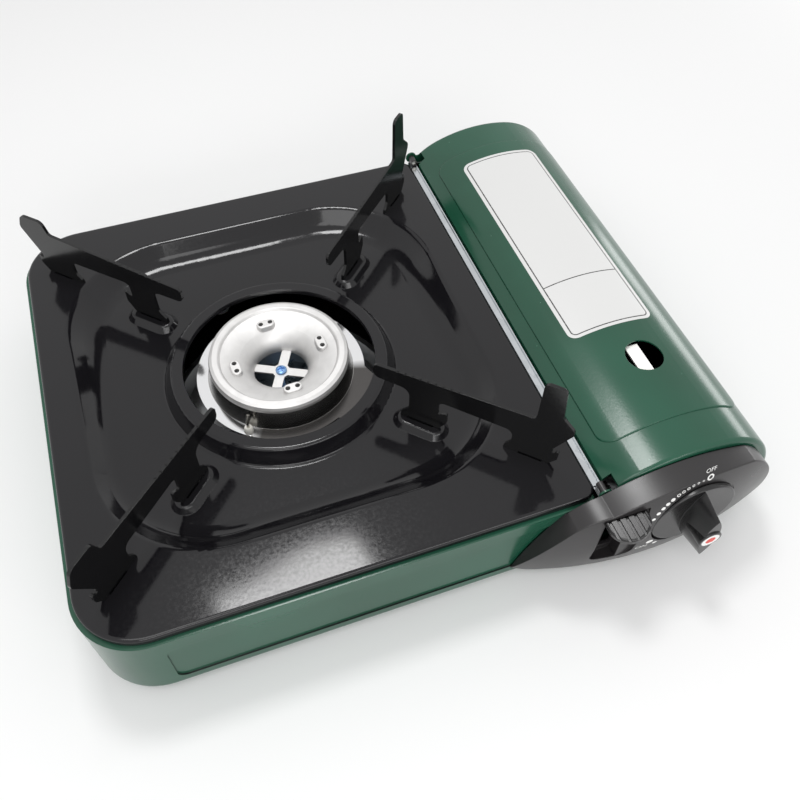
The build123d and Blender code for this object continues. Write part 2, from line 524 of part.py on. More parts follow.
def inlet_collar():
    """Turned ring on which the canister's mounting cup seats, with a rear flange."""
    front = INLET_FRONT
    ring = rod(CAN_X, front, CAN_Z, 20.0, 2.0, (0, 1, 0))
    ring += rod(CAN_X, front + 2, CAN_Z, 17.5, 7.0, (0, 1, 0))
    ring -= rod(CAN_X, front + 2.0, CAN_Z, 15.8, 10, (0, 1, 0))
    return ring - rod(CAN_X, front - 1, CAN_Z, 4.2, 5, (0, 1, 0))


def inlet_nozzle():
    """Brass nozzle that opens the canister's valve."""
    front = BRACKET_BACK + 27.0
    nozzle = rod(CAN_X, front, CAN_Z, 3.9, 10.5, (0, 1, 0))
    nozzle += rod(CAN_X, front + 10.5, CAN_Z, 2.4, 4.0, (0, 1, 0))
    return nozzle - rod(CAN_X, front - 1, CAN_Z, 1.0, 20, (0, 1, 0))


def gas_jet():
    """Brass injector screwed into the regulator and aimed along the mixing tube."""
    jet = rod(*mixing_axis(TUBE_END + 1.5), 3.6, 3.5, TUBE_WAY)
    jet += rod(*mixing_axis(TUBE_END + 5), 2.45, 5, TUBE_WAY)
    return jet - rod(*mixing_axis(TUBE_END), 0.6, 12, TUBE_WAY)


def canister_guide():
    """Strap from the regulator's top over the canister's neck, with the lug that finds its notch."""
    back = INLET_FRONT - 24
    seat = CAN_Z + 20.0
    top = CAN_Z + CAN_R
    x0, x1 = CAN_X - 3.6, CAN_X + 3.6
    foot = box(x0, x1, back, back + 12, seat, seat + SHEET)
    riser = box(x0, x1, back, back + SHEET, seat, top + SHEET)
    strap = box(x0, x1, back, back + 56, top, top + SHEET)
    lug = box(CAN_X - 1.5, CAN_X + 1.5, back + 34, back + 36, seat - 3.0, top)
    return foot + riser + strap + lug


def canister_carriage():
    """Sliding fork behind the canister's rim, drawn forwards by the lever to lock.

    Its follower is a strip in front of the lever's pin, so slanted that the pin, on its straight
    way down, pushes the fork forwards by its whole travel.
    """
    y = -66.0
    plate = Pos(CAN_X, -31.2) * RectangleRounded(62, 44.4, 5)
    plate -= Pos(CAN_X, CAN_Z) * Circle(18.5) + Pos(CAN_X, CAN_Z + 20) * Rectangle(37, 40)
    fork = prism_xz(plate, y + 1.2, y)
    arm_y = PIN_Y + 2.4
    arm = box(138.6, 140.0, arm_y, y + 1.2, -46, -35)
    arm += box(FOLLOWER_LEFT, 140.0, arm_y, arm_y + FOLLOWER_GAUGE, -46, -39.5)
    front = PIN_R + FOLLOWER_GAP
    half = hypot(CARRIAGE_TRAVEL, LEVER_TRAVEL) / 2 + 2.5
    strip = box(FOLLOWER_LEFT, FOLLOWER_RIGHT, -front - FOLLOWER_GAUGE, -front, -half - 3.5, half)
    slant = degrees(atan(CARRIAGE_TRAVEL / LEVER_TRAVEL))
    mid_way = Pos(0, PIN_Y + CARRIAGE_TRAVEL / 2, PIN_Z - LEVER_TRAVEL / 2)
    return fork + arm + mid_way * Rot(slant, 0, 0) * strip


def canister_cradle():
    """Curved aluminium sheet under the canister, which carries warmth to it."""
    r0 = CAN_R + 0.6
    ring = Pos(CAN_X, CAN_Z) * (Circle(r0 + SHEET) - Circle(r0))
    sector = make_face(Polyline((CAN_X, CAN_Z), (CAN_X - 30, CAN_Z - 42), (CAN_X + 30, CAN_Z - 42), close=True))
    sheet = prism_xz(ring & sector, 95, -58)
    lowest = CAN_Z - r0 - SHEET
    sheet = Pos(0, 0, BODY_BOTTOM + SHEET + 0.1 - lowest) * sheet
    sheet += box(CAN_X - 9, CAN_X + 9, -58, 95, BODY_BOTTOM + SHEET, BODY_BOTTOM + 2 * SHEET)
    floor = BODY_BOTTOM + SHEET
    for x, y in RIVETS[5:]:
        hole = Pos(x, y, floor) * Cylinder(1.7, 6)
        spot_face = Pos(x, y, floor + SHEET + 3) * Cylinder(3.0, 6)
        sheet -= hole + spot_face
    return sheet


def heat_strip():
    """Aluminium strip from below the burner through the divider to the cradle."""
    z = BODY_BOTTOM + 2 * SHEET
    return box(28.0, 160.0, -10, 10, z, z + 1.0)


# ---- Burner ---------------------------------------------------------------------------------

def burner_stand():
    """Hat-shaped bracket that carries the burner bowl above the floor."""
    floor = BODY_BOTTOM + SHEET
    top = BOWL_BOTTOM - 0.1
    hat = Polyline((-32, floor), (-15, floor), (-12, top - 1), (12, top - 1), (15, floor), (32, floor),
                   (32, floor + SHEET), (15.7, floor + SHEET), (12.6, top), (-12.6, top), (-15.7, floor + SHEET),
                   (-32, floor + SHEET), close=True)
    stand = extrude(Plane.XZ * make_face(hat), 11, both=True)
    for x, y in RIVETS[3:5]:
        stand -= Pos(x, y, floor) * Cylinder(1.7, 6)
    return stand


def heat_shield():
    """Pressed disc under the burner that keeps its heat off the floor."""
    z = -47.5
    ring = turned([(22, z), (58, z), (63, z + 4), (66, z + 4), (66, z + 4.6), (62.7, z + 4.6),
                   (57.7, z + 0.6), (22, z + 0.6)])
    drop = z - (BODY_BOTTOM + SHEET)
    for angle in (60, 180, 300):
        ring += Rot(0, 0, angle) * Pos(52, 0, z - drop / 2) * Cylinder(3.0, drop)
    return ring - Pos(ELECTRODE_X + 2.6, ELECTRODE_Y - 3.0, z) * Cylinder(8.5, 20)


def shell_ear():
    """Plan of the seam flange: a ring that widens into an ear over the mixing tube."""
    ring = Circle(FLANGE_R)
    ear = Polygon((30, -24), (46.5, -15.5), (55, -13.8), (55, 13.8), (46.5, 15.5), (30, 24), align=None)
    return Rot(0, 0, TUBE_ANGLE) * (ring + ear)


def mixing_axis(r):
    """Point of the mixing tube's axis at a distance from the burner axis."""
    return (r * TUBE_WAY[0], r * TUBE_WAY[1], TUBE_Z)


def burner_upper_shell():
    """Polished upper pressing: wall below the cap and the seam flange."""
    wall = turned([(34.2, 0.6), (35.0, 0.6), (NECK_R, FLANGE_Z), (NECK_R - SHEET, FLANGE_Z)])
    flange = extrude(Pos(0, 0, FLANGE_Z - SHEET) * shell_ear(), SHEET, dir=(0, 0, 1))
    return wall + (flange - Pos(0, 0, FLANGE_Z) * Cylinder(NECK_R - SHEET, 6)) - electrode_hole()


def electrode_hole():
    """Hole in both seam flanges for the spark electrode."""
    return Pos(ELECTRODE_X, ELECTRODE_Y, FLANGE_Z) * Cylinder(2.6, 8)


def bowl_wall(inset):
    """Side of the bowl from the seam down to its floor, as (r, z), moved inwards by inset."""
    return [(37.6 - inset, FLANGE_Z - SHEET - 0.02), (36.0 - inset, -22.0), (28.0 - inset, BOWL_BOTTOM)]


def burner_lower_shell():
    """Lower pressing: seam flange, bowl and the bore into the mixing tube."""
    seam_z = FLANGE_Z - SHEET - 0.02
    rim, belly, heel = bowl_wall(SHEET)
    floor = BOWL_BOTTOM + SHEET
    bowl = turned(bowl_wall(0) + [(0, BOWL_BOTTOM), (0, floor), (heel[0], floor), belly, rim])
    flange = extrude(Pos(0, 0, seam_z - SHEET) * offset(shell_ear(), -0.6), SHEET, dir=(0, 0, 1))
    flange -= Pos(0, 0, seam_z) * Cylinder(37.2, 6)
    return bowl + flange - rod(*mixing_axis(20), TUBE_R - SHEET, 30, TUBE_WAY) - electrode_hole()


def mixing_tube():
    """Venturi tube from the bowl to the regulator, with a bell mouth and air ports."""
    start = mixing_axis(20)
    length = TUBE_END - 20
    tube = rod(*start, TUBE_R, length, TUBE_WAY) - rod(*start, TUBE_R - SHEET, length, TUBE_WAY)
    tube -= Pos(*mixing_axis(TUBE_END - 14)) * Cylinder(4.0, 60)
    bowl = turned(bowl_wall(-0.02) + [(0, BOWL_BOTTOM), (0, FLANGE_Z - SHEET)])
    return tube - bowl


def burner_cap():
    """The burner head: rolled rim, funnel throat, four two-hole bosses and an open spider."""
    outline = [ThreePointArc((14.3, -11.0), (16.2, -4.6), (21.0, 0.0)),
               ThreePointArc((21.0, 0.0), (25.6, 1.9), (30.6, 3.2)),
               Polyline((30.6, 3.2), (31.4, 4.5), (32.0, CAP_TOP), (34.6, CAP_TOP), (36.2, 4.0), (36.7, 2.4),
                        (36.7, 0.6), (35.6, 0.6), (35.2, 2.0), (33.6, 2.6), (33.4, 1.8), (30.4, 1.8)),
               ThreePointArc((30.4, 1.8), (26.0, 0.7), (22.0, -1.2)),
               ThreePointArc((22.0, -1.2), (17.5, -5.2), (15.6, -11.0)),
               Polyline((15.6, -11.0), (15.6, -12.0), (14.3, -12.0), (14.3, -11.0))]
    bell = revolve(Plane.XZ * make_face(Curve() + outline), Axis.Z)
    boss = extrude(Pos(0, 0, -1.2) * SlotOverall(10.6, 6.2), 4.4, taper=6)
    boss = fillet(boss.edges().group_by(Axis.Z)[-1], 0.6)
    for angle in (3, 93, 183, 273):
        place = Rot(0, 0, angle) * Pos(23.4, 0, 0)
        bell += place * Rot(0, 0, 90) * boss
        for y in (-2.6, 2.6):
            bell -= place * Pos(0, y, 0) * Cylinder(BOSS_PORT_R, 20)
    level = SPIDER_TOP - SPIDER_GAUGE / 2
    hub = Pos(0, 0, level) * Cylinder(4.6, SPIDER_GAUGE)
    for angle in (-27, 63):
        hub += Pos(0, 0, level) * Rot(0, 0, angle) * Box(30.0, 5.0, SPIDER_GAUGE)
    return bell + (hub - Pos(0, 0, level) * Cylinder(1.7, 6))


def flame_ring():
    """Slotted ring between cap and bowl, whose slots are the flame ports."""
    top, bottom = CAP_TOP - 3.1, CAP_TOP - 12.3
    ring = turned([(31.0, top), (33.2, top), (33.2, bottom + 0.8), (36.78, bottom + 0.8), (37.0, bottom),
                   (31.0, bottom)])
    for k in range(36):
        ring -= Rot(0, 0, 10 * k) * Pos(32.5, 0, top) * Box(6, 1.6, 3.0)
    return ring


def burner_screw():
    """Pan-head screw that draws cap and bowl together."""
    floor = BOWL_BOTTOM + SHEET
    return turned([(0, SPIDER_TOP + 2.0), (1.6, SPIDER_TOP + 1.9), (3.0, SPIDER_TOP), (1.6, SPIDER_TOP),
                   (1.6, floor), (0, floor)])


def electrode_insulator():
    """Ceramic body of the spark electrode, standing through the seam flanges."""
    under = FLANGE_Z - 2 * SHEET - 0.04
    body = turned([(0.9, -7.0), (1.7, -7.0), (2.3, -8.2), (2.3, under), (3.8, under), (3.8, under - 2),
                   (2.3, under - 2.8), (2.3, -26.0), (0.9, -26.0)])
    return Pos(ELECTRODE_X, ELECTRODE_Y, 0) * body


def electrode_wire():
    """Spark wire through the insulator, bent towards the cap's edge."""
    lean = Vector(-ELECTRODE_X, -ELECTRODE_Y, 0).normalized()
    x, y = ELECTRODE_X, ELECTRODE_Y
    tip = (x + lean.X * 2.2, y + lean.Y * 2.2, 0.4)
    path = FilletPolyline((x, y, -26.0), (x, y, -4.0), tip, radius=2.0)
    return sweep(Plane(origin=(x, y, -26.0), z_dir=(0, 0, 1)) * Circle(0.85), path)


def ignition_lead():
    """Lead from the piezo igniter, through the divider, to the electrode."""
    x, y = ELECTRODE_X, ELECTRODE_Y
    points = [(x, y, -26.0), (x, y, -37.0), (x + 2.5, y - 3.0, -46.5), (x + 8.5, y - 10.0, -51.2),
              (x + 25, y - 22.5, -51.9), (38, -66, -51.5), (76, -75, -50.6), (106, -80, -49.9),
              (136, -79, -50.2), (162, -76, -49.2), (182, -78.5, -46.5), (196, -86.5, -41.5),
              (IGNITER_X, -100.0, IGNITER_Z), (IGNITER_X, IGNITER_BACK, IGNITER_Z)]
    radii = bend_radii(points)
    print("ignition lead bend radii:", [round(r, 1) for r in radii])
    path = FilletPolyline(*points, radius=radii)
    lead = sweep(Plane(origin=points[0], z_dir=(0, 0, -1)) * Circle(LEAD_R), path)
    print("ignition lead volume, section times length:", lead.volume, pi * LEAD_R ** 2 * path.length)
    return lead


def bend_radii(points):
    """For each corner of a route, the arc that uses 0.45 of the shorter run beside it."""
    radii = []
    for before, corner, after in zip(points, points[1:], points[2:]):
        run_in = Vector(*corner) - Vector(*before)
        run_out = Vector(*after) - Vector(*corner)
        half_turn = radians(run_in.get_angle(run_out) / 2)
        radii.append(0.45 * min(run_in.length, run_out.length) / tan(half_turn))
    return radii


def piezo_igniter():
    """Piezo striker unit beside the regulator."""
    unit = box(IGNITER_X - 7, IGNITER_X + 7, BRACKET_BACK, IGNITER_BACK, IGNITER_Z - 7, IGNITER_Z + 7)
    return chamfer(unit.edges().filter_by(Axis.Y), 1.5)


# ---- Write every part in the final frame -----------------------------------------------------

PARTS = {
    "hob_plate": hob_plate,
    "body_tray": body_tray,
    "divider_wall": divider_wall,
    "floor_rivets": rivets,
    "hinge_blocks": hinge_blocks,
    "hinge_pins": hinge_pins,
    "canister_cover": canister_cover,
    "control_panel": control_panel,
    "knob": knob,
    "valve_spindle": valve_spindle,
    "lock_lever": lock_lever,
    "valve_bracket": valve_bracket,
    "regulator_body": regulator_body,
    "diaphragm_cover": diaphragm_cover,
    "inlet_collar": inlet_collar,
    "inlet_nozzle": inlet_nozzle,
    "gas_jet": gas_jet,
    "canister_guide": canister_guide,
    "canister_carriage": canister_carriage,
    "canister_cradle": canister_cradle,
    "heat_strip": heat_strip,
    "burner_stand": burner_stand,
    "heat_shield": heat_shield,
    "burner_lower_shell": burner_lower_shell,
    "burner_upper_shell": burner_upper_shell,
    "mixing_tube": mixing_tube,
    "flame_ring": flame_ring,
    "burner_cap": burner_cap,
    "burner_screw": burner_screw,
    "electrode_insulator": electrode_insulator,
    "electrode_wire": electrode_wire,
    "ignition_lead": ignition_lead,
    "piezo_igniter": piezo_igniter,
}


def write(name, shape):
    """Move a part into the final frame and save it."""
    export_step(Pos(-MIDDLE_X, -MIDDLE_Y, -GROUND_Z) * shape, f"parts/{name}.step")


for name, make in PARTS.items():
    write(name, make())

for corner, angle in DIAGONALS.items():
    horn = HORN_HIGH if corner.endswith("right") else HORN_LOW
    write(f"pan_support_{corner}", Rot(0, 0, angle) * pan_support(horn))

for corner, (x, y) in zip(("front_left", "back_left", "front_right", "back_right"), FEET):
    write(f"foot_{corner}", Pos(x, y, 0) * foot())
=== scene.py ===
"""A portable cassette stove, dressed piece by piece in the order in which it is put together."""

import bmesh
import bpy
import numpy as np
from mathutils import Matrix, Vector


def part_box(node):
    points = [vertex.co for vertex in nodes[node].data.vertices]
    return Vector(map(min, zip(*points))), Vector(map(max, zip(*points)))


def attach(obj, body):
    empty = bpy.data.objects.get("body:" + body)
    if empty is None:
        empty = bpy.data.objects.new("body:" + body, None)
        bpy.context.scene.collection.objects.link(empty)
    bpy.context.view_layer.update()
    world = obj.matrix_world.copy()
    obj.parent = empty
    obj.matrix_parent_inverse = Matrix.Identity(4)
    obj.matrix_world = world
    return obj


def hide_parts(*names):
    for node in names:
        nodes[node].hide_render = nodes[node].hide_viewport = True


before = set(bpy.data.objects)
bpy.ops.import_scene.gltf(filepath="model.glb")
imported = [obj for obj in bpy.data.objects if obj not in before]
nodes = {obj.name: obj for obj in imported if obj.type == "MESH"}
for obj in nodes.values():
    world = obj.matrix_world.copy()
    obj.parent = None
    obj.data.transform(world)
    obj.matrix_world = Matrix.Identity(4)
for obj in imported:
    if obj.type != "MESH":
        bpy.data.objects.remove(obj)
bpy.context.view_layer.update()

# ---- Where the stove is measured from ----------------------------------------------------------
# The burner's axis and the rim of the hob plate are the stove's natural zero: pressings, arms
# and cover are all laid out from them, in millimetres.

MM = 0.001
cap_low, cap_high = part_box("burner_cap")
rim_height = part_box("hob_plate")[1].z
zero = np.array([(cap_low.x + cap_high.x) / 2, (cap_low.y + cap_high.y) / 2, rim_height])


def place(points):
    """Millimetres from the burner axis and the plate's rim, as metres in the stove's frame."""
    return zero + MM * np.asarray(points, float)


# ---- Body tray: pressed steel in baked green enamel paint --------------------------------------
# The lower shell is drawn in one pressing, then sprayed and stoved. The paint is glossy, with a
# fine orange peel and a few dust specks. Its inside is painted near black, as painted shade.

BODY_GREEN, BODY_GREEN_DARK, DUST_GREEN = "#205440", "#1b4a37", "#5d8876"
# Near black painted on the tray's inside, as painted shade.
PAINTED_SHADE_BLACK = "#0d0d0d"
TONE_MM = 60
PEEL_MM, PEEL_DEPTH_MM = 1.5, 0.014
SPECK_CELL_MM, SPECK_SHARE = 8.0, 0.03
PAINTED_EDGE_MM = 0.3
TRAY_MIDDLE = (49.2, 1.2, -29.4)


def linear(code):
    """An sRGB hex colour as the linear red, green, blue and alpha that a shader takes."""
    srgb = np.array([int(code[i:i + 2], 16) for i in (1, 3, 5)]) / 255
    flat = np.where(srgb <= 0.04045, srgb / 12.92, ((srgb + 0.055) / 1.055) ** 2.4)
    return (*flat, 1.0)


def add(tree, kind, sockets, **settings):
    """Adds one shader node: its settings, and its sockets with their values or links."""
    node = tree.nodes.new(kind)
    for name, value in settings.items():
        setattr(node, name, value)
    for name, value in sockets.items():
        if isinstance(value, bpy.types.NodeSocket):
            tree.links.new(value, node.inputs[name])
        else:
            node.inputs[name].default_value = value
    return node


def start_finish(name, sockets):
    """A new material with its shader, and the Object coordinates that its patterns read."""
    material = bpy.data.materials.new(name)
    material.use_nodes = True
    tree = material.node_tree
    tree.nodes.clear()
    skin = add(tree, "ShaderNodeBsdfPrincipled", sockets)
    add(tree, "ShaderNodeOutputMaterial", {"Surface": skin.outputs["BSDF"]})
    here = add(tree, "ShaderNodeTexCoord", {}).outputs["Object"]
    return material, tree, skin, here


def noise(tree, where, size_mm, detail, distortion=0.0):
    """Soft noise in patches of about the given size, as a factor that varies round 0.5."""
    sockets = {"Vector": where, "Scale": 1 / (size_mm * MM), "Detail": detail, "Distortion": distortion}
    return add(tree, "ShaderNodeTexNoise", sockets).outputs["Fac"]


def ramp(tree, factor, stops):
    """A colour ramp between places and hex colours, driven by a factor."""
    node = add(tree, "ShaderNodeValToRGB", {"Fac": factor})
    elements = node.color_ramp.elements
    while len(elements) < len(stops):
        elements.new(0.5)
    for element, (place_on, code) in zip(elements, stops):
        element.position = place_on
        element.color = linear(code)
    return node.outputs["Color"]


def blend(tree, factor, first, second):
    """The colour that goes from the first to the second as the factor goes from 0 to 1.

    A mix node takes its colours at inputs 6 and 7 and gives the result at output 2.
    """
    return add(tree, "ShaderNodeMix", {0: factor, 6: first, 7: second}, data_type="RGBA").outputs[2]


def relief(tree, pattern, depth_mm, strength=1.0, below=None):
    """A normal tilted by a pattern of the given depth, on top of the normal below it."""
    sockets = {"Height": pattern, "Distance": depth_mm * MM, "Strength": strength}
    if below is not None:
        sockets["Normal"] = below
    return add(tree, "ShaderNodeBump", sockets).outputs["Normal"]


def soft_edges(tree, radius_mm):
    """A normal that turns gently where an edge is nearer than the radius."""
    return add(tree, "ShaderNodeBevel", {"Radius": radius_mm * MM}).outputs["Normal"]


def dress(material, *names):
    """Gives a material to CAD nodes, in every material slot they have."""
    for name in names:
        for slot in nodes[name].material_slots:
            slot.material = material


def baked_enamel(name, shade_painted_inside):
    """Gloss paint: orange peel as a low bump, slow shifts of tone, and sparse dust specks.

    A speck lies in each cell, and SPECK_SHARE is its radius as a share of the cell. If asked,
    faces whose normal points towards the tray's middle are painted near black, as painted shade.
    """
    material, tree, skin, here = start_finish(name, {"Roughness": 0.2, "IOR": 1.46})
    tone = noise(tree, here, size_mm=TONE_MM, detail=2.0)
    base = ramp(tree, tone, [(0.35, BODY_GREEN_DARK), (0.65, BODY_GREEN)])
    dust = add(tree, "ShaderNodeTexVoronoi", {"Vector": here, "Scale": 1 / (SPECK_CELL_MM * MM)})
    speck = add(tree, "ShaderNodeMath", {0: dust.outputs["Distance"], 1: SPECK_SHARE},
                operation="LESS_THAN")
    colour = blend(tree, speck.outputs[0], base, linear(DUST_GREEN))
    # Painted shade: faces turned towards the tray's middle are painted near black.
    if shade_painted_inside:
        facing = add(tree, "ShaderNodeTexCoord", {}).outputs["Normal"]
        outwards = add(tree, "ShaderNodeVectorMath", {0: here, 1: place(TRAY_MIDDLE)},
                       operation="SUBTRACT")
        turned = add(tree, "ShaderNodeVectorMath", {0: facing, 1: outwards.outputs[0]},
                     operation="DOT_PRODUCT")
        inner = add(tree, "ShaderNodeMath", {0: turned.outputs["Value"], 1: 0.0}, operation="LESS_THAN")
        colour = blend(tree, inner.outputs[0], colour, linear(PAINTED_SHADE_BLACK))
    tree.links.new(colour, skin.inputs["Base Color"])
    peel = noise(tree, here, size_mm=PEEL_MM, detail=1.0)
    painted = relief(tree, peel, PEEL_DEPTH_MM, below=soft_edges(tree, PAINTED_EDGE_MM))
    tree.links.new(painted, skin.inputs["Normal"])
    return material


dress(baked_enamel("green_enamel_tray", True), "body_tray")

# ---- Feet and rivets ---------------------------------------------------------------------------
# Four black rubber feet push into the floor, and cold-set rivets hold the inner parts to it. The
# rivets, hinge pins, valve spindle and spark wire are nickel-plated steel.


def spread(tree, factor, low, high, start=0.0, end=1.0):
    """A value that runs from low to high while the factor runs from start to end."""
    sockets = {"Value": factor, "From Min": start, "From Max": end, "To Min": low, "To Max": high}
    return add(tree, "ShaderNodeMapRange", sockets).outputs["Result"]


def moulded_rubber(name, code, bloomed):
    """Matte rubber with a paler bloom, and the texture of its mould drawn coarse enough to show."""
    material, tree, skin, here = start_finish(name, {"Roughness": 0.75, "IOR": 1.52})
    bloom = noise(tree, here, size_mm=4, detail=3.0)
    tree.links.new(ramp(tree, bloom, [(0.3, code), (0.75, bloomed)]), skin.inputs["Base Color"])
    grit = noise(tree, here, size_mm=0.5, detail=2.0)
    tree.links.new(relief(tree, grit, depth_mm=0.03, strength=0.8), skin.inputs["Normal"])
    return material


def plated_steel(name, code, roughness):
    """Plated steel: a mirror metal dulled by faint clouds, from 0.8 to 1.3 of its roughness."""
    material, tree, skin, here = start_finish(name, {"Base Color": linear(code), "Metallic": 1.0})
    cloud = noise(tree, here, size_mm=6, detail=3.0)
    dulled = spread(tree, cloud, 0.8 * roughness, 1.3 * roughness, start=0.3, end=0.7)
    tree.links.new(dulled, skin.inputs["Roughness"])
    return material


CORNERS = ("front_left", "front_right", "back_right", "back_left")
rubber = moulded_rubber("moulded_rubber", "#1b1a1a", "#2b2a29")
nickel = plated_steel("nickel_plated_steel", "#c3c0b8", 0.25)
dress(rubber, *(f"foot_{corner}" for corner in CORNERS))
dress(nickel, "floor_rivets", "hinge_pins", "valve_spindle", "electrode_wire")

# ---- Divider wall and brackets -----------------------------------------------------------------
# The wall, the carriage, the diaphragm's cover and the brackets of valve and burner are cut and
# folded from zinc-coated sheet. The coating is bright, with broad crystals that differ a little
# in their grey and in how sharply they shine.

SPANGLE_MM = 5


def galvanised(name, code, dark):
    """Zinc-coated sheet with its spangle of flat crystals."""
    material, tree, skin, here = start_finish(name, {"Metallic": 1.0})
    crystal = add(tree, "ShaderNodeTexVoronoi", {"Vector": here, "Scale": 1 / (SPANGLE_MM * MM)})
    shade = add(tree, "ShaderNodeSeparateColor", {"Color": crystal.outputs["Color"]})
    grey = ramp(tree, shade.outputs["Red"], [(0.0, dark), (1.0, code)])
    tree.links.new(grey, skin.inputs["Base Color"])
    tree.links.new(spread(tree, shade.outputs["Green"], 0.2, 0.26), skin.inputs["Roughness"])
    return material


zinc_sheet = galvanised("galvanised_sheet", "#c2c6c9", "#b7bbbe")
dress(zinc_sheet, "divider_wall", "valve_bracket", "diaphragm_cover", "canister_carriage", "burner_stand")

# ---- Cartridge guide ---------------------------------------------------------------------------
# A strap of tin-plated steel, folded up from a foot on the regulator to lie over the cartridge's
# shoulder. Its tin is paler and duller than the nickel of the rivets.

dress(plated_steel("tin_plated_steel", "#f7f6f3", 0.62), "canister_guide")

# ---- Black mouldings ---------------------------------------------------------------------------
# Panel, lever, hinge blocks and igniter are injection-moulded ABS. The tool was spark eroded, so
# the skin has an even fine grain and a satin shine. The lever is harder and smoother.


def moulded_plastic(name, code, roughness, grain_mm, edge_mm):
    """Black plastic with a spark-eroded grain, softened edges and slight flow marks.

    The grain is drawn several times coarser than it is, so that it shows.
    """
    material, tree, skin, here = start_finish(name, {"Base Color": linear(code), "IOR": 1.5})
    flow = noise(tree, here, size_mm=25, detail=2.0)
    satin = spread(tree, flow, roughness - 0.03, roughness + 0.03, start=0.3, end=0.7)
    tree.links.new(satin, skin.inputs["Roughness"])
    grain = noise(tree, here, size_mm=grain_mm, detail=2.0)
    eroded = relief(tree, grain, depth_mm=0.012, strength=0.5, below=soft_edges(tree, edge_mm))
    tree.links.new(eroded, skin.inputs["Normal"])
    return material


panel_abs = moulded_plastic("moulded_abs_panel", "#242223", roughness=0.3, grain_mm=0.9, edge_mm=0.5)
lever_abs = moulded_plastic("moulded_abs_lever", "#161516", roughness=0.26, grain_mm=0.7, edge_mm=0.3)
dress(panel_abs, "control_panel", "hinge_blocks", "piezo_igniter")
dress(lever_abs, "lock_lever")

# ---- Marks printed on the panel ----------------------------------------------------------------
# Pad-printed in white round the knob's recess: dots that shrink from full to low flame, open
# rings further on, a ring for OFF, and the filled dots of the ON position. A mark is its angle
# round the knob in degrees, counted up from the right, and its own radius.

INK_WHITE = "#f2f2f0"
INK_LIFT = 0.06
BARREL_X, BARREL_Y, BARREL_Z = 153.0, -149.8, -18.0
BARREL_PLAN_R, BARREL_SIDE_R = 205.0, 112.0
KNOB_X, KNOB_Z = 164.9, -13.1
MARK_R = 25.4
FULL_DOTS = ((161.0, 1.0), (151.5, 1.1), (143.5, 1.1), (136.5, 1.15), (129.5, 1.15))
OPEN_RINGS = ((122.0, 1.05), (116.0, 0.95), (110.0, 0.85), (104.0, 0.75), (98.0, 0.65), (92.0, 0.55))
OFF_ANGLE, OFF_MARK_R, OFF_R = 83.5, MARK_R + 0.8, 1.9
ON_DOTS = ((-141.0, 1.9), (-128.0, 1.3))
HOLE_SHARE = 0.55
WELD_MM = 0.0005


def on_barrel(x, z):
    """Places of (x, z) on the panel's front, a barrel round an upright axis, a hair in front of it.

    The barrel's radius falls off with height by the sag of its side arc.
    """
    sag = BARREL_SIDE_R - np.sqrt(BARREL_SIDE_R ** 2 - (z - BARREL_Z) ** 2)
    depth = np.sqrt((BARREL_PLAN_R - sag) ** 2 - (x - BARREL_X) ** 2)
    return place(np.stack([x, BARREL_Y + BARREL_PLAN_R - depth - INK_LIFT, z], -1))


def piece_of(name, points, faces, material, body):
    """A mesh object from its points and faces, with its finish, riding on a body.

    Points that lie on one another, along a seam or at a pole, are welded.
    """
    mesh = bpy.data.meshes.new(name)
    mesh.from_pydata(points.tolist(), [], faces.tolist())
    knitted = bmesh.new()
    knitted.from_mesh(mesh)
    bmesh.ops.remove_doubles(knitted, verts=knitted.verts, dist=WELD_MM * MM)
    knitted.to_mesh(mesh)
    knitted.free()
    mesh.materials.append(material)
    mesh.shade_smooth()
    piece = bpy.data.objects.new(name, mesh)
    bpy.context.scene.collection.objects.link(piece)
    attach(piece, body)
    return piece


def quads(rows, columns, start=0):
    """The four corners of each cell in a grid of rows by columns of points."""
    row, column = np.meshgrid(np.arange(rows - 1), np.arange(columns - 1), indexing="ij")
    corner = start + (row * columns + column).ravel()
    return np.stack([corner, corner + 1, corner + columns + 1, corner + columns], -1)


def rings_on_barrel(marks, round_points=33, across_points=3):
    """Flat rings (x, z, inner, outer) laid on the barrel, as one set of points and faces.

    Each is a grid of circle angle by radius between its inner and outer circle.
    """
    turn = np.linspace(0, 2 * np.pi, round_points)[:, None]
    across = np.linspace(0, 1, across_points)[None, :]
    points, faces = [], []
    for x, z, inner, outer in marks:
        radius = inner + (outer - inner) * across
        grid = on_barrel(x + radius * np.cos(turn), z + radius * np.sin(turn))
        faces.append(quads(round_points, across_points, round_points * across_points * len(points)))
        points.append(grid.reshape(-1, 3))
    return np.concatenate(points), np.concatenate(faces)


def round_knob(angle, radius):
    """The x and z of a place round the knob's axis, with the angle from the right."""
    return KNOB_X + radius * np.cos(np.radians(angle)), KNOB_Z + radius * np.sin(np.radians(angle))


def printed_ink(name, code, thin="#b9b9b6"):
    """Ink that lies flat on its ground, slightly mottled where the pad left less of it."""
    material, tree, skin, here = start_finish(name, {"Roughness": 0.5, "IOR": 1.5})
    wear = noise(tree, here, size_mm=0.6, detail=2.0)
    tree.links.new(ramp(tree, wear, [(0.25, thin), (0.45, code)]), skin.inputs["Base Color"])
    return material


white_ink = printed_ink("pad_printed_white_ink", INK_WHITE)
dial = [(*round_knob(angle, MARK_R), 0.0, radius) for angle, radius in FULL_DOTS + ON_DOTS]
dial += [(*round_knob(angle, MARK_R), radius * HOLE_SHARE, radius) for angle, radius in OPEN_RINGS]
dial.append((*round_knob(OFF_ANGLE, OFF_MARK_R), OFF_R * HOLE_SHARE, OFF_R))
piece_of("panel_dial_marks", *rings_on_barrel(dial), white_ink, "stove_body")

# Each word has the angle and radius of its middle round the knob, and the size of its letters.
WORDS = (("OFF", 85.0, 30.6, 3.4), ("ON", -137.0, 31.0, 4.2))

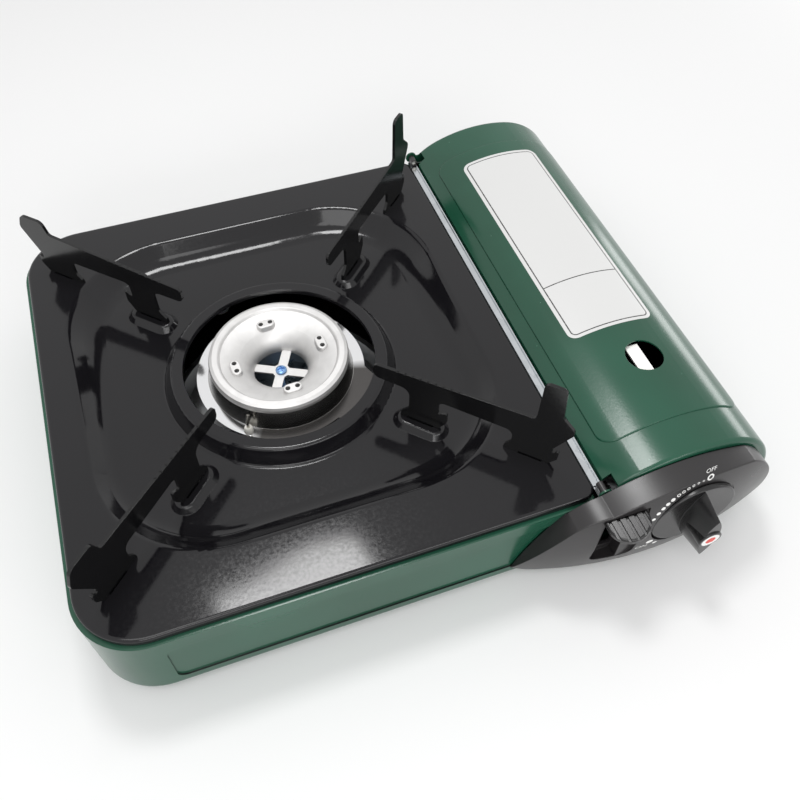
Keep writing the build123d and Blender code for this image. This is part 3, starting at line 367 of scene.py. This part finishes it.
for word, angle, radius, height in WORDS:
    letters = bpy.data.curves.new(f"word_{word}", "FONT")
    letters.body = word
    letters.align_x = "CENTER"
    letters.align_y = "CENTER"
    holder = bpy.data.objects.new(f"word_{word}", letters)
    bpy.context.scene.collection.objects.link(holder)
    flat = bpy.data.meshes.new_from_object(holder.evaluated_get(bpy.context.evaluated_depsgraph_get()))
    bpy.data.objects.remove(holder)
    spots = np.zeros(3 * len(flat.vertices))
    flat.vertices.foreach_get("co", spots)
    spots = spots.reshape(-1, 3) * height
    middle_x, middle_z = round_knob(angle, radius)
    flat.vertices.foreach_set("co", on_barrel(middle_x + spots[:, 0], middle_z + spots[:, 1]).ravel())
    flat.materials.clear()
    flat.materials.append(white_ink)
    piece = bpy.data.objects.new(f"panel_word_{word.lower()}", flat)
    bpy.context.scene.collection.objects.link(piece)
    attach(piece, "stove_body")

# ---- Knob --------------------------------------------------------------------------------------
# A harder plastic than the panel, moulded smoother, so that its leaf-shaped grip shines. Its
# end carries a printed mark: a white ring round a red spot.

KNOB_END_Y = -164.0
WHITE_RING, RED_SPOT = (2.6, 4.7), (0.0, 2.6)
knob_plastic = moulded_plastic("moulded_phenolic_knob", "#131213",
                               roughness=0.22, grain_mm=0.7, edge_mm=0.4)
dress(knob_plastic, "knob")


def end_ring(inner, outer, round_points=65, across_points=4):
    """A flat ring across the knob's end: a grid of circle angle by radius, facing forwards."""
    turn = np.linspace(0, 2 * np.pi, round_points)[:, None]
    radius = np.linspace(inner, outer, across_points)[None, :]
    x = KNOB_X + radius * np.cos(turn)
    z = KNOB_Z + radius * np.sin(turn)
    points = place(np.stack([x, np.full_like(x, KNOB_END_Y - INK_LIFT), z], -1))
    return points.reshape(-1, 3), quads(round_points, across_points)


red_ink = printed_ink("pad_printed_red_ink", "#d8392c")
piece_of("knob_mark_ring", *end_ring(*WHITE_RING), white_ink, "control_knob")
piece_of("knob_mark_spot", *end_ring(*RED_SPOT), red_ink, "control_knob")

# ---- Gas train ---------------------------------------------------------------------------------
# The regulator is die-cast zinc with a dull cast skin. Nozzle and jet are turned brass. The seat
# for the cartridge is turned stainless steel, and so is the slotted ring under the burner head.


def cast_metal(name, code, dark, roughness):
    """Die-cast metal: a grey skin with flow marks, and a blasted texture drawn coarse enough to show."""
    material, tree, skin, here = start_finish(name, {"Metallic": 1.0, "Roughness": roughness})
    flow = noise(tree, here, size_mm=9, detail=4.0, distortion=0.6)
    tree.links.new(ramp(tree, flow, [(0.3, dark), (0.7, code)]), skin.inputs["Base Color"])
    grit = noise(tree, here, size_mm=0.5, detail=2.0)
    tree.links.new(relief(tree, grit, depth_mm=0.02, strength=0.6), skin.inputs["Normal"])
    return material


zinc_casting = cast_metal("die_cast_zinc", "#a9abad", "#8c8e91", 0.45)
brass = plated_steel("turned_brass", "#c9a457", 0.22)
stainless = plated_steel("polished_stainless", "#d6d5d3", 0.1)
dress(zinc_casting, "regulator_body")
dress(brass, "inlet_nozzle", "gas_jet")
dress(stainless, "inlet_collar", "flame_ring")

# ---- Cradle, strip and shield ------------------------------------------------------------------
# The cartridge's cradle, the strip that warms it and the shield under the burner are rolled
# aluminium sheet in mill finish, with the faint lines of the rolls along it.

ROLL_STRETCH = (0.05, 1.0, 1.0)


def rolled_aluminium(name, code):
    """Mill-finish sheet: fine lines drawn out twenty times along X, and a soft shine."""
    material, tree, skin, here = start_finish(name, {"Base Color": linear(code), "Metallic": 1.0})
    drawn = add(tree, "ShaderNodeMapping", {"Vector": here, "Scale": ROLL_STRETCH})
    lines = noise(tree, drawn.outputs[0], size_mm=0.8, detail=3.0)
    tree.links.new(spread(tree, lines, 0.24, 0.44), skin.inputs["Roughness"])
    return material


aluminium = rolled_aluminium("rolled_aluminium", "#d9dadb")
dress(aluminium, "canister_cradle", "heat_strip", "heat_shield")

# ---- Burner shells -----------------------------------------------------------------------------
# Bowl and mixing tube are drawn steel with a thin zinc finish. The upper shell is polished on its
# flange. Its wall below the head is brushed round, and painted darker as a painted reflection of
# the dark plate. A dark patch on the flange in front, beside the spark electrode, is a painted
# dark reflection, and is brushed like the wall.

WALL_FOOT_R = 38.9
# The wall's darker steel and the dark patch on the flange are painted dark reflections.
WALL_STEEL_PAINTED_DARK, FLANGE_STEEL, PAINTED_DARK_REFLECTION_STEEL = "#b8b7b5", "#e4e4e5", "#545251"
DARK_REFLECTION_HEADING, DARK_REFLECTION_HALF_ANGLE, DARK_REFLECTION_FADE = -68.0, 50.0, 8.0
FLANGE_ROUGHNESS, BRUSHED_LOW, BRUSHED_HIGH = 0.1, 0.16, 0.3


def shell_with_painted_reflections(name):
    """Polished flange outside a radius round the burner axis, and a darker brushed wall inside it.

    The wall's darker colour and a dark patch on the flange are painted dark reflections. The
    patch lies on the headings within its half angle of its own heading, and fades beyond them.
    The brushing is noise drawn out round the axis: its vector is radius and height only.
    """
    material, tree, skin, here = start_finish(name, {"Metallic": 1.0})
    centred = add(tree, "ShaderNodeVectorMath", {0: here, 1: place((0, 0, 0))}, operation="SUBTRACT")
    flat = add(tree, "ShaderNodeVectorMath", {0: centred.outputs[0], 1: (1.0, 1.0, 0.0)},
               operation="MULTIPLY")
    reach = add(tree, "ShaderNodeVectorMath", {0: flat.outputs[0]}, operation="LENGTH")
    inner = add(tree, "ShaderNodeMath", {0: reach.outputs["Value"], 1: WALL_FOOT_R * MM},
                operation="LESS_THAN")
    outwards = add(tree, "ShaderNodeVectorMath", {0: flat.outputs[0]}, operation="NORMALIZE")
    heading = np.radians(DARK_REFLECTION_HEADING)
    turned = add(tree, "ShaderNodeVectorMath",
                 {0: outwards.outputs[0], 1: (np.cos(heading), np.sin(heading), 0.0)},
                 operation="DOT_PRODUCT")
    fade_end = np.cos(np.radians(DARK_REFLECTION_HALF_ANGLE + DARK_REFLECTION_FADE))
    fade_start = np.cos(np.radians(DARK_REFLECTION_HALF_ANGLE))
    dark_reflection = spread(tree, turned.outputs["Value"], 0.0, 1.0, start=fade_end, end=fade_start)
    # Painted dark reflections: a dark patch on the flange, and a darker wall inside it.
    flange = blend(tree, dark_reflection, linear(FLANGE_STEEL), linear(PAINTED_DARK_REFLECTION_STEEL))
    colour = blend(tree, inner.outputs[0], flange, linear(WALL_STEEL_PAINTED_DARK))
    tree.links.new(colour, skin.inputs["Base Color"])
    height = add(tree, "ShaderNodeSeparateXYZ", {"Vector": centred.outputs[0]})
    band = add(tree, "ShaderNodeCombineXYZ", {"X": reach.outputs["Value"], "Z": height.outputs["Z"]})
    lines = noise(tree, band.outputs[0], size_mm=0.5, detail=2.0)
    brushed = spread(tree, lines, BRUSHED_LOW, BRUSHED_HIGH)
    dull = add(tree, "ShaderNodeMath", {0: inner.outputs[0], 1: dark_reflection}, operation="MAXIMUM")
    gloss = add(tree, "ShaderNodeMix", {0: dull.outputs[0], 2: FLANGE_ROUGHNESS, 3: brushed})
    tree.links.new(gloss.outputs[0], skin.inputs["Roughness"])
    return material


thin_zinc = plated_steel("zinc_plated_drawn_steel", "#b4bdc4", 0.3)
dress(thin_zinc, "burner_lower_shell", "mixing_tube")
dress(shell_with_painted_reflections("polished_and_brushed_steel"), "burner_upper_shell")

# ---- Burner head -------------------------------------------------------------------------------
# Die-cast aluminium, bead blasted to an even pale grey satin. It rests on the slotted ring, and
# the screw through the hub of its spider holds it down.

head_metal = cast_metal("blasted_aluminium", "#d3d2d1", "#c8c7c6", 0.52)
dress(head_metal, "burner_cap")

# ---- Burner screw ------------------------------------------------------------------------------
# A pan-head machine screw with a cross recess, in blue passivated zinc. It is turned, and the
# recess is struck into its head.

SCREW_TOP, SCREW_SEAT, SCREW_END = -8.8, -10.8, -36.2
SCREW_HEAD_R, SCREW_SHANK_R = 2.98, 1.58
DOME_FALL, SEAT_GAP = 1.0, 0.05
RECESS_DEPTH, RECESS_HALF_WIDTH, RECESS_REACH = 1.1, 0.42, 1.9
RECESS_SOFTNESS = 0.05


def cross_screw(dome_points=40, round_points=129):
    """A profile of (radius, height) carried round the axis, with a cross pressed into its top.

    The top falls by the cube of the radius. Its height also falls by the recess depth where
    either coordinate is within half the slot's width and the radius is within its reach, with a
    short smooth wall between.
    """
    dome = np.linspace(0, SCREW_HEAD_R, dome_points)
    top = SCREW_TOP - DOME_FALL * (dome / SCREW_HEAD_R) ** 3
    under = SCREW_SEAT + SEAT_GAP
    radius = np.concatenate([dome, [SCREW_HEAD_R, SCREW_SHANK_R, SCREW_SHANK_R, 0]])
    height = np.concatenate([top, [under, under, SCREW_END, SCREW_END]])
    turn = np.linspace(0, 2 * np.pi, round_points)[:, None]
    x, y = radius * np.cos(turn), radius * np.sin(turn)
    arm = np.minimum(np.abs(x), np.abs(y))
    sunk = 1 / (1 + np.exp((arm - RECESS_HALF_WIDTH) / RECESS_SOFTNESS))
    sunk *= 1 / (1 + np.exp((np.hypot(x, y) - RECESS_REACH) / RECESS_SOFTNESS))
    on_top = height > under + SEAT_GAP
    z = height - RECESS_DEPTH * sunk * on_top
    return place(np.stack([x, y, z], -1)).reshape(-1, 3), quads(round_points, len(radius))


blue_zinc = plated_steel("blue_zinc_plate", "#7fa3cf", 0.22)
screw = piece_of("burner_cross_screw", *cross_screw(), blue_zinc, "stove_body")
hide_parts("burner_screw")

# ---- Spark electrode and its lead --------------------------------------------------------------
# A glazed ceramic tube in front of the burner holds the spark wire, and a lead with silicone
# insulation runs from it to the igniter.


def plain_finish(name, code, dark, roughness, mottle_mm):
    """A pale even surface with a slow mottle of its tone."""
    material, tree, skin, here = start_finish(name, {"Roughness": roughness, "IOR": 1.5})
    tone = noise(tree, here, size_mm=mottle_mm, detail=2.0)
    tree.links.new(ramp(tree, tone, [(0.3, dark), (0.7, code)]), skin.inputs["Base Color"])
    return material


ceramic = plain_finish("glazed_ceramic", "#f0eee8", "#e2dfd6", roughness=0.2, mottle_mm=5)
silicone = plain_finish("silicone_insulation", "#c9c5ba", "#b8b3a6", roughness=0.45, mottle_mm=8)
dress(ceramic, "electrode_insulator")
dress(silicone, "ignition_lead")

# ---- Hob plate and pan supports ----------------------------------------------------------------
# Steel pressings dipped in black glass enamel and fired. The enamel flowed out as it melted, so
# it is glossy with a long, shallow waviness and a fine haze, and thick on the cut edges.


def fired_enamel(name, code, roughness, wave_mm, wave_height, edge_mm):
    """Black glass enamel: long waves, a fine haze on the gloss and rounded, beaded edges."""
    material, tree, skin, here = start_finish(name, {"Base Color": linear(code), "IOR": 1.44})
    haze = noise(tree, here, size_mm=1.6, detail=3.0)
    gloss = spread(tree, haze, roughness - 0.03, roughness + 0.04, start=0.3, end=0.7)
    tree.links.new(gloss, skin.inputs["Roughness"])
    wave = noise(tree, here, size_mm=wave_mm, detail=0.0)
    waved = relief(tree, wave, depth_mm=wave_height, below=soft_edges(tree, edge_mm))
    peel = noise(tree, here, size_mm=1.2, detail=1.0)
    tree.links.new(relief(tree, peel, depth_mm=0.004, below=waved), skin.inputs["Normal"])
    return material


plate_enamel = fired_enamel("fired_black_enamel", "#121114", roughness=0.1,
                            wave_mm=40, wave_height=0.2, edge_mm=0.4)
support_enamel = fired_enamel("fired_black_enamel_arms", "#0e0e0f", roughness=0.16,
                              wave_mm=22, wave_height=0.02, edge_mm=0.35)
dress(plate_enamel, "hob_plate")
dress(support_enamel, *(f"pan_support_{corner}" for corner in CORNERS))

# ---- Canister cover ----------------------------------------------------------------------------
# Pressed and painted with the body, so it has the same stoved enamel, green on both faces. It
# turns on two pins beside the plate.

dress(baked_enamel("green_enamel_cover", False), "canister_cover")

# ---- Label on the cover ------------------------------------------------------------------------
# A sheet of white coated film on the lid's raised field. It is blank: a thin black frame inside
# its edge and one dividing rule are all that is printed.

# The lid's section: the x and z where it starts beside the plate, the radii of its three arcs,
# and its slopes in degrees at their ends.
COVER_EDGE = (125.7, 0.9)
COVER_RADII = (41.0, 84.0, 43.4)
COVER_SLOPES = (45.0, 21.0, -11.7, -90.0)
FIELD_RISE = 0.8
# The label's bounds: its least and greatest x, then its least and greatest y.
LABEL = (144.2, 192.6, -49.4, 101.0)
LABEL_CORNER, SHARP_CORNER = 5.0, 0.05
FRAME_INSET, RULE_WIDTH = 1.9, 0.6
DIVIDER_Y = -11.2
FILM_LIFT, PRINT_LIFT = 0.1, 0.03


def on_cover(x, y, lift):
    """Places over (x, y) on the lid's raised field, pushed out along its normal by lift.

    The section is three arcs that meet at a common tangent. On each arc a point's heading is
    asin((centre x − x) / radius), and its height is the centre's plus radius times cos heading.
    """
    start_x, start_z = COVER_EDGE
    z = np.zeros_like(x)
    for radius, first, last in zip(COVER_RADII, np.radians(COVER_SLOPES), np.radians(COVER_SLOPES[1:])):
        centre_x, centre_z = start_x + radius * np.sin(first), start_z - radius * np.cos(first)
        heading = np.arcsin(np.clip((centre_x - x) / (radius + FIELD_RISE + lift), -1, 1))
        on_arc = (heading <= first) & (heading >= last)
        z = np.where(on_arc, centre_z + (radius + FIELD_RISE + lift) * np.cos(heading), z)
        start_x, start_z = centre_x - radius * np.sin(last), centre_z + radius * np.cos(last)
    return place(np.stack([x, y, z], -1))


def film(inset, lift, bounds=LABEL, corner=LABEL_CORNER,
         corner_points=9, length_points=30, across_points=41):
    """A rounded rectangle laid on the cover, drawn in from its bounds by inset.

    Rows run across; near both ends each row draws in by corner − sqrt(corner² − distance²).
    """
    x_low, x_high, y_low, y_high = np.array(bounds) + inset * np.array([1, -1, 1, -1])
    corner = max(corner - inset, SHARP_CORNER)
    swing = np.linspace(0, np.pi / 2, corner_points)
    step, draw = corner * (1 - np.cos(swing)), corner * (1 - np.sin(swing))
    middle = np.linspace(y_low + corner, y_high - corner, length_points)[1:-1]
    rows = np.concatenate([y_low + step, middle, (y_high - step)[::-1]])[:, None]
    draw = np.concatenate([draw, np.zeros_like(middle), draw[::-1]])[:, None]
    across = np.linspace(0, 1, across_points)[None, :]
    x = x_low + draw + across * (x_high - x_low - 2 * draw)
    grid = on_cover(x, rows + np.zeros_like(x), lift)
    return grid.reshape(-1, 3), quads(len(rows), across_points)


def coated_film(name, code):
    """Coated label film: an even satin white, with faint ripples where it was rubbed down."""
    material, tree, skin, here = start_finish(
        name, {"Base Color": linear(code), "Roughness": 0.32, "IOR": 1.5})
    ripple = noise(tree, here, size_mm=7, detail=1.0)
    tree.links.new(relief(tree, ripple, depth_mm=0.02), skin.inputs["Normal"])
    return material


white_film = coated_film("coated_label_film", "#dcdcdb")
black_ink = printed_ink("printed_black_ink", "#161616")
divider = (LABEL[0] + FRAME_INSET, LABEL[1] - FRAME_INSET,
           DIVIDER_Y - RULE_WIDTH / 2, DIVIDER_Y + RULE_WIDTH / 2)
for name, sheet, finish in (
        ("cover_label", film(0, FILM_LIFT), white_film),
        ("cover_label_frame", film(FRAME_INSET, FILM_LIFT + PRINT_LIFT), black_ink),
        ("cover_label_face", film(FRAME_INSET + RULE_WIDTH, FILM_LIFT + 2 * PRINT_LIFT), white_film),
        ("cover_label_rule", film(0, FILM_LIFT + 3 * PRINT_LIFT, divider, 2 * SHARP_CORNER), black_ink)):
    piece_of(name, *sheet, finish, "cover")

# ---- Floor, light and camera -------------------------------------------------------------------
# A plain pale table top, a small key lamp above the back, soft fill lamps above the front left,
# at the right and in front, and a camera above the front that looks down to the right.

FLOOR_SIZE = 3.0
FLOOR_GREY = "#f4f4f4"
half = FLOOR_SIZE / 2
floor_corners = [(-half, -half, 0), (half, -half, 0), (half, half, 0), (-half, half, 0)]
floor_mesh = bpy.data.meshes.new("table_top")
floor_mesh.from_pydata(floor_corners, [], [(0, 1, 2, 3)])
floor = bpy.data.objects.new("table_top", floor_mesh)
bpy.context.scene.collection.objects.link(floor)
table_paint = start_finish("table_top_paint", {"Base Color": linear(FLOOR_GREY), "Roughness": 0.9})[0]
floor_mesh.materials.append(table_paint)

SKY_LIGHT, SKY_SEEN = 0.62, 1.0
world = bpy.data.worlds.new("studio")
bpy.context.scene.world = world
world.use_nodes = True
tree = world.node_tree
tree.nodes.clear()
path = add(tree, "ShaderNodeLightPath", {})
mirrored = add(tree, "ShaderNodeMath", {
    0: path.outputs["Is Camera Ray"], 1: path.outputs["Is Glossy Ray"]}, operation="MAXIMUM")
seen = add(tree, "ShaderNodeMath", {
    0: mirrored.outputs[0], 1: path.outputs["Is Transmission Ray"]}, operation="MAXIMUM")
level = spread(tree, seen.outputs[0], SKY_LIGHT, SKY_SEEN)
sky = add(tree, "ShaderNodeBackground", {"Color": (1, 1, 1, 1), "Strength": level})
add(tree, "ShaderNodeOutputWorld", {"Surface": sky.outputs["Background"]})


def softbox(name, spot, target, width, height, watts):
    """A rectangular lamp at a spot, turned to face a target, both in millimetres."""
    lamp = bpy.data.lights.new(name, "AREA")
    lamp.shape = "RECTANGLE"
    lamp.size = width * MM
    lamp.size_y = height * MM
    lamp.energy = watts
    holder = bpy.data.objects.new(name, lamp)
    bpy.context.scene.collection.objects.link(holder)
    spot_at, target_at = place(spot), place(target)
    holder.location = spot_at
    holder.rotation_euler = Vector(spot_at - target_at).to_track_quat("Z", "Y").to_euler()


softbox("key_softbox", (20, 262, 1000), (60, 0, 0), width=260, height=210, watts=2.9)
softbox("overhead_softbox", (-300, -450, 1000), (0, 0, 0), width=600, height=500, watts=2.6)
softbox("right_softbox", (1000, 330, 60), (150, 0, 0), width=500, height=220, watts=1.5)
softbox("front_softbox", (50, -1000, 480), (0, 0, 0), width=1100, height=250, watts=3.5)

# The camera's place in millimetres, its turn in degrees about X, Y and Z, and its lens.
CAMERA_SPOT = (-38.73, -284.89, 342.04)
CAMERA_TURN = (36.604, -0.675, -19.729)
CAMERA_LENS, SENSOR_WIDTH = 37.652, 36
camera = bpy.data.cameras.new("camera")
camera.lens = CAMERA_LENS
camera.sensor_width = SENSOR_WIDTH
holder = bpy.data.objects.new("camera", camera)
bpy.context.scene.collection.objects.link(holder)
holder.location = place(CAMERA_SPOT)
holder.rotation_euler = np.radians(CAMERA_TURN)
bpy.context.scene.camera = holder
bpy.context.scene.view_settings.view_transform = "Standard"
